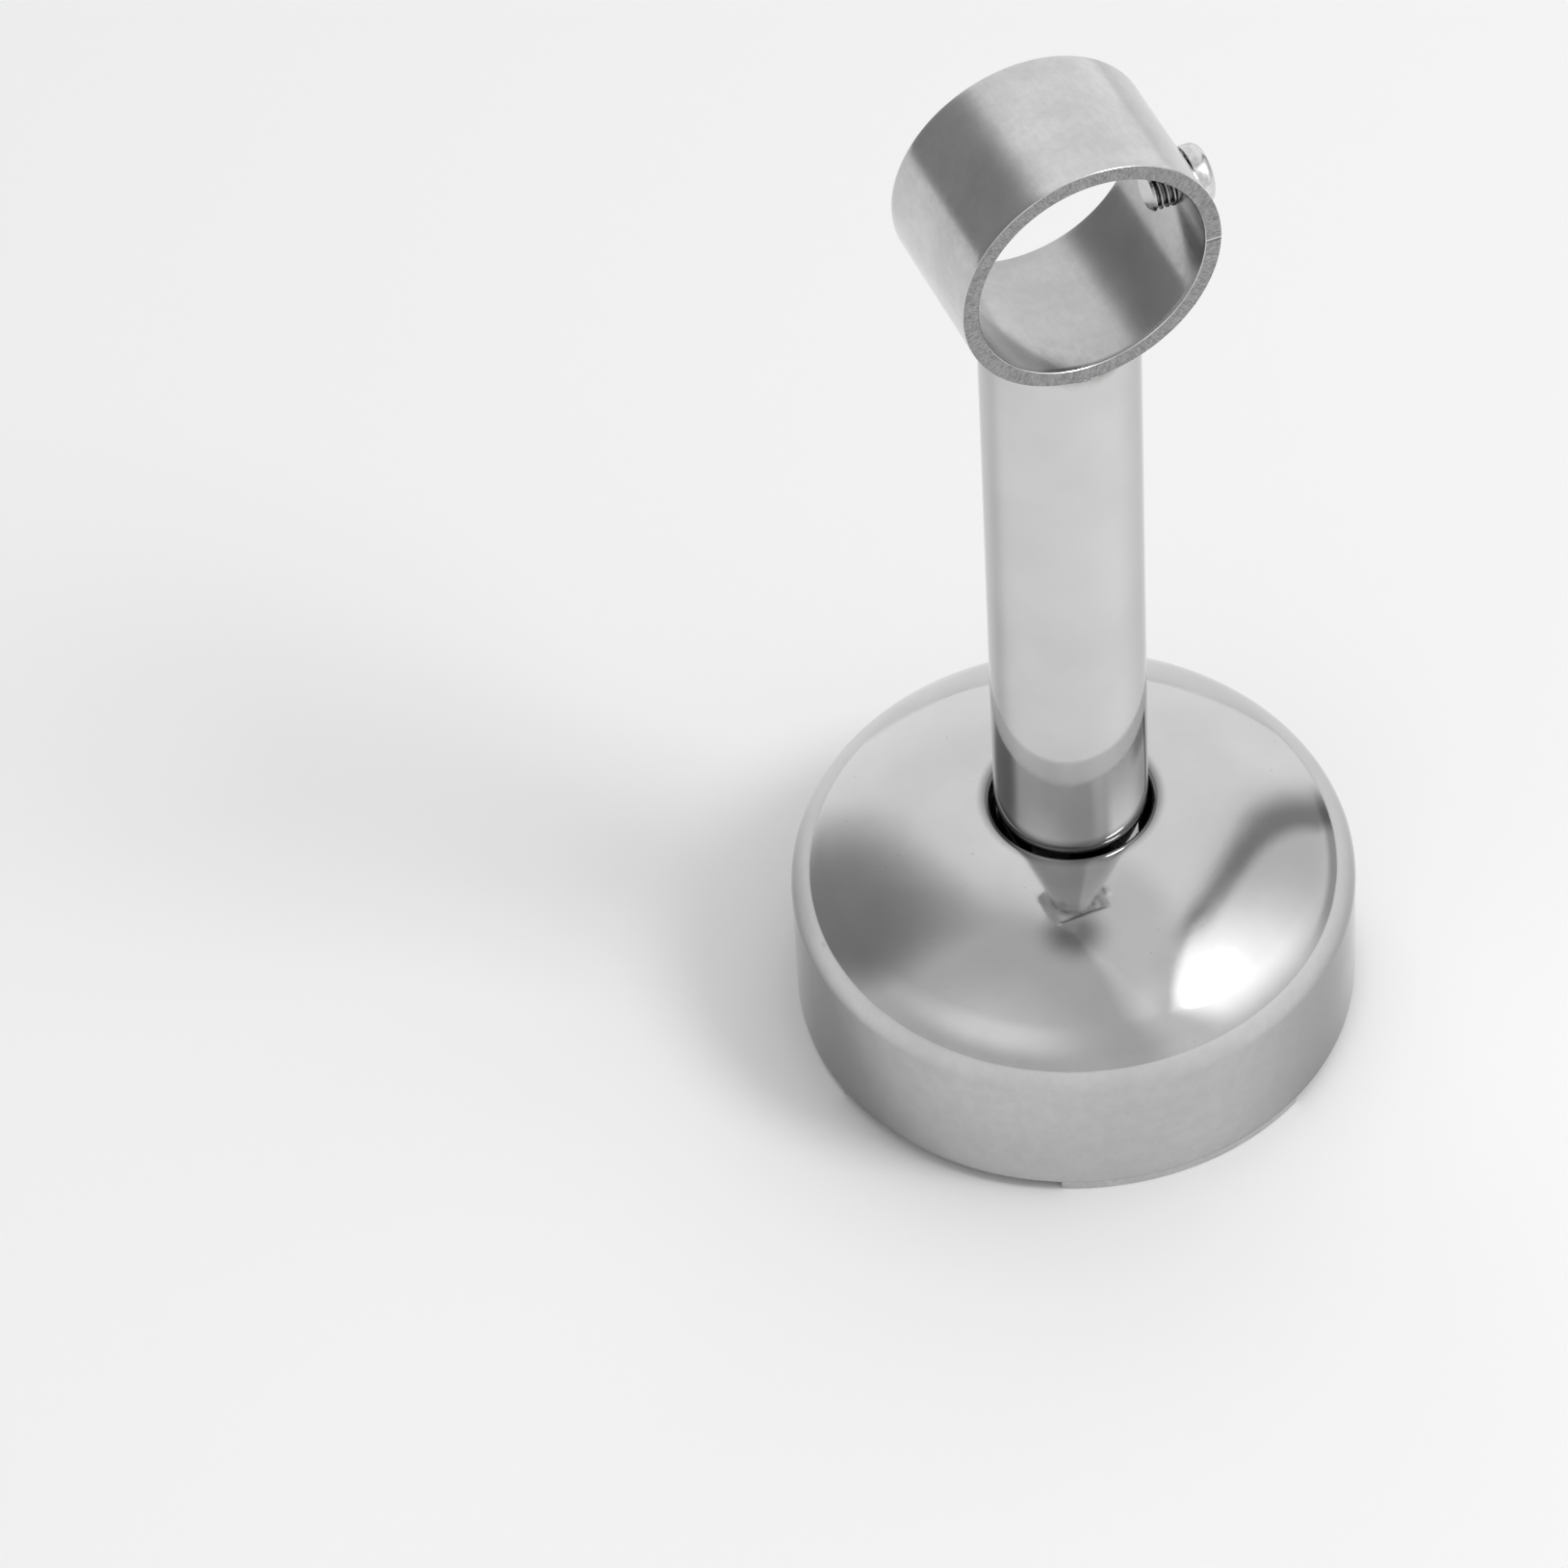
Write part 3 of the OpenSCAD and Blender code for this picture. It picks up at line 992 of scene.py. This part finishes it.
def collar_profile():
    """The drawn collar's section (radius, height), from the sheet's lower face round to its upper face."""
    centre = (COLLAR_R + COLLAR_BEND_R, COLLAR_BEND_R)
    return [
        (PLATE_INNER_R, 0.0),
        *arc(centre, COLLAR_BEND_R, -90, -180, 20),
        (COLLAR_R, COLLAR_TOP),
        (COLLAR_R + PLATE_T, COLLAR_TOP),
        *arc(centre, COLLAR_BEND_R - PLATE_T, -180, -90, 20),
        (PLATE_INNER_R, PLATE_T),
    ]


def make_plate():
    flat, near, triangles, sheared = flat_sheet()
    n = len(flat)
    faces_of = [pressed(point, distance) for point, distance in zip(flat, near)]
    points = [low for low, _ in faces_of] + [high for _, high in faces_of]
    faces = [t[::-1] for t in triangles] + [tuple(v + n for v in t) for t in triangles]
    for loop in sheared:
        faces += [(a, b, b + n, a + n) for a, b in looped(loop)]
    # the collar has as many segments as the sheet's inner circle, so the two join
    profile = collar_profile()
    faces += ring_faces(PLATE_SEGMENTS, len(profile), first=len(points), closed=False)
    points += [(*polar(r, a), z) for a in bearings(PLATE_SEGMENTS) for r, z in profile]
    made = piece("plate_body", points, faces, weld=2e-6)
    smooth(made, 50)
    dress(made, PLATE_STEEL, "bracket", "base_plate")


make_plate()


# ---- weld between the plate and the post ----------------------------------------

def add_spatter(made):
    """Small beads of metal inside the collar, under the post's lower end."""
    work = bmesh.new()
    work.from_mesh(made.data)
    for _ in range(16):
        a = random.uniform(0, 2 * math.pi)
        size = random.uniform(0.16, 0.34)
        z = random.uniform(3.3, 4.7)
        r = COLLAR_R + COLLAR_BEND_R - math.sqrt(COLLAR_BEND_R ** 2 - (COLLAR_BEND_R - z) ** 2)
        place = Matrix.Translation(Vector((r * math.cos(a), r * math.sin(a), z)) * MM)
        flattened = place @ Matrix.Diagonal((1.0, 1.0, 0.75, 1.0))
        bmesh.ops.create_icosphere(work, subdivisions=2, radius=size * MM, matrix=flattened)
    work.to_mesh(made.data)
    work.free()


def make_plate_weld():
    """The rippled fillet on the collar, and the spatter."""
    random.seed(11)
    segments, across = 420, 8
    ripple, sink = 1.1, 0.04
    points = []
    for a in bearings(segments):
        out = Vector((*polar(1, a), 0))
        puddle = 0.5 + 0.5 * math.sin(2 * math.pi * math.radians(a) * POST_R / ripple)
        leg = 1.22 + 0.1 * puddle + 0.06 * noise.noise(out * 3)
        low = out * (POST_R + leg) + Vector((0, 0, COLLAR_TOP - sink))
        high = out * (POST_R - sink) + Vector((0, 0, COLLAR_TOP + leg))
        belly = out * (POST_R + 0.62 * leg) + Vector((0, 0, COLLAR_TOP + 0.62 * leg))
        points += bulge(low, belly, high, across)
        points.append(out * (POST_R - sink) + Vector((0, 0, COLLAR_TOP - sink)))
    made = piece("plate_bead", points, ring_faces(segments, across + 1))
    add_spatter(made)
    smooth(made, 60)
    dress(made, WELD_STEEL, "bracket", "plate_weld")


make_plate_weld()


# ---- floor, light and camera ----------------------------------------------------

def make_floor():
    half = 1.6
    square = [(-half, -half, 0), (half, -half, 0), (half, half, 0), (-half, half, 0)]
    mesh = bpy.data.meshes.new("floor")
    mesh.from_pydata(square, [], [(0, 1, 2, 3)])
    floor = bpy.data.objects.new("floor", mesh)
    bpy.context.scene.collection.objects.link(floor)
    material = bpy.data.materials.new("floor_white")
    material.use_nodes = True
    shader = material.node_tree.nodes["Principled BSDF"]
    shader.inputs["Base Color"].default_value = grey(0.94)
    shader.inputs["Roughness"].default_value = 0.8
    shader.inputs["Specular IOR Level"].default_value = 0.2
    mesh.materials.append(material)


make_floor()


def make_studio():
    """Soft studio light all round: a pale room, one big softbox up to the right and dimmer gaps."""
    world = bpy.data.worlds.new("studio")
    bpy.context.scene.world = world
    world.use_nodes = True
    sky = Nodes(world.node_tree, "Generated")
    x, y, z = sky.split()
    # in degrees: azimuth 0 looks along +Y and 90 along +X
    azimuth = sky.times(sky.math("ARCTAN2", x, y), math.degrees(1))
    height = sky.times(sky.math("ARCSINE", z), math.degrees(1))

    def dimmed(level, amount, area):
        return sky.times(level, sky.minus(1.0, sky.times(area, amount)))

    def oval(middle, half, middle_height, half_height, height):
        """Squared distance from an oval's middle, 1 on its edge."""
        across = sky.math("DIVIDE", sky.minus(azimuth, middle), half)
        up = sky.math("DIVIDE", sky.minus(height, middle_height), half_height)
        return sky.plus(sky.times(across, across), sky.times(up, up))

    # the pale room, dimmer overhead, behind the softbox and on the left
    level = sky.times(sky.span(height, 6, 30, 1.02, 0.95), sky.span(height, 80, 88, 1.0, 0.35))
    softbox = oval(125, 58, 20, 44, sky.math("MAXIMUM", height, 20))
    right = sky.window(azimuth, 20, 64, 154, 176)
    level = dimmed(level, 0.24, sky.times(right, sky.span(softbox, 1.5, 0.98)))
    level = dimmed(level, 0.2, sky.times(right, sky.span(height, 62, 72)))
    left = sky.math("MAXIMUM", sky.fade(azimuth, -60, 0), sky.span(azimuth, 158, 180))
    level = dimmed(level, 0.4, left)
    # a dark wall on the left, the softbox's dark frame, and the dim foot of its stand
    level = dimmed(level, 0.6, sky.fade(oval(-47, 21, 18, 34, height), 0.4, 2.9))
    frame_side = sky.fade(azimuth, 96, 122)
    level = dimmed(level, 0.6, sky.times(frame_side, sky.window(softbox, 0.82, 0.97, 1.02, 1.3)))
    foot = sky.times(sky.window(azimuth, 58, 68, 90, 116), sky.window(height, -6, 0, 6, 15))
    level = dimmed(level, 0.45, foot)
    # the softbox's own light, and a weak fill from behind the camera on the left
    inside = sky.times(sky.span(softbox, 1.1, 0.95), sky.fade(azimuth, 142, 160))
    glow = sky.times(inside, sky.span(azimuth, 76, 122), sky.span(height, -4, 44))
    level = sky.plus(level, sky.times(glow, 0.8))
    fill = sky.times(sky.window(azimuth, -170, -125, -115, -70), sky.window(height, 8, 42, 48, 78))
    level = sky.plus(level, sky.times(fill, 0.4))
    background = world.node_tree.nodes["Background"]
    background.inputs["Color"].default_value = (1, 1, 1, 1)
    sky.link(level, background.inputs["Strength"])


make_studio()


def direction(azimuth, elevation):
    """The unit vector at an azimuth and an elevation in degrees, 0 along +Y and 90 along +X."""
    x, y = polar(math.cos(math.radians(elevation)), 90 - azimuth)
    return Vector((x, y, math.sin(math.radians(elevation))))


def aim(thing, back, roll=0.0):
    """Turns a lamp or a camera away from back, and rolls it by an angle in degrees."""
    thing.rotation_mode = "QUATERNION"
    turned = (-back).to_track_quat("-Z", "Y")
    thing.rotation_quaternion = turned @ Quaternion((0, 0, 1), math.radians(roll))


def make_lamp():
    """A small lamp inside the softbox, which throws a faint soft shadow to the left."""
    data = bpy.data.lights.new("lamp", "AREA")
    data.shape = "DISK"
    data.size = 0.3
    data.energy = 2.2
    lamp = bpy.data.objects.new("lamp", data)
    bpy.context.scene.collection.objects.link(lamp)
    back = direction(134, 52)
    lamp.location = back * 0.95
    aim(lamp, back)


make_lamp()


def make_camera():
    """The camera that fits both brackets' outlines in the photograph."""
    data = bpy.data.cameras.new("camera")
    data.sensor_width = 36
    data.lens = 177.0
    data.shift_x = 0.0008
    data.shift_y = -0.0047
    data.clip_start, data.clip_end = 0.05, 20
    camera = bpy.data.objects.new("camera", data)
    bpy.context.scene.collection.objects.link(camera)
    camera.location = (-0.2502, -0.5742, 0.7433)
    aim(camera, direction(-159.67, 48.32), roll=-3.90)
    bpy.context.scene.camera = camera


make_camera()
bpy.context.scene.view_settings.view_transform = "Standard"
